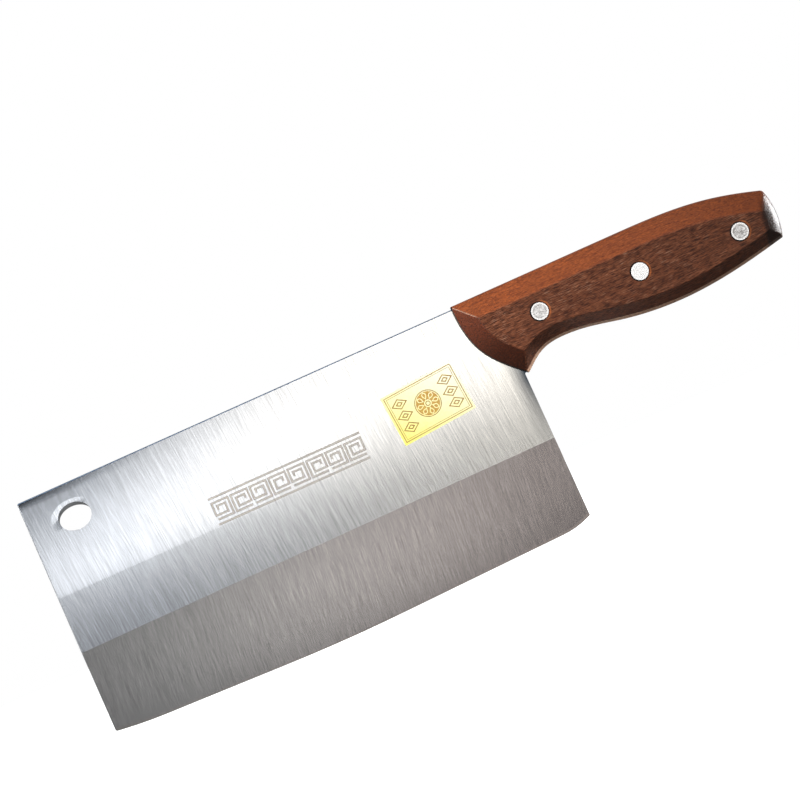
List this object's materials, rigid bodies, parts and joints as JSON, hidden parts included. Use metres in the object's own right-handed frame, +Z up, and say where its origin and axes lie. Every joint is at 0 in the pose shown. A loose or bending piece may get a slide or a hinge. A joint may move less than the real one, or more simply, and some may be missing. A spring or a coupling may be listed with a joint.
{
  "type": "chinese cleaver",
  "caption": "Kitchen cleaver with a tall ground steel blade, oval hanging hole, full tang, faceted wooden scales with flush rivets, and a paper sticker on the blade.",
  "frame": {"origin": "middle of the knife's length and thickness, at the level of the lowest point of the cutting edge", "axes": "+X along the knife towards the butt of the handle, +Y through the thickness, away from the side with the sticker, +Z up from the cutting edge to the spine"},
  "size_m": [0.3296, 0.0204, 0.1056],
  "materials": {
    "blade_steel": "ground stainless steel with fine grinding lines, coarser above the grind line",
    "handle_wood": "oiled dark reddish-brown hardwood, satin",
    "rivet_metal": "turned, dulled by use",
    "label_paper": "yellow coated paper with a plain brown ornament"
  },
  "bodies": {
    "root": {"blade": "blade_steel", "front_scale": "handle_wood", "rear_scale": "handle_wood", "label": "label_paper", "rivet_tube_1": "rivet_metal", "rivet_tube_2": "rivet_metal", "rivet_tube_3": "rivet_metal", "rivet_pin_1": "rivet_metal", "rivet_pin_2": "rivet_metal", "rivet_pin_3": "rivet_metal"}
  },
  "joints": []
}
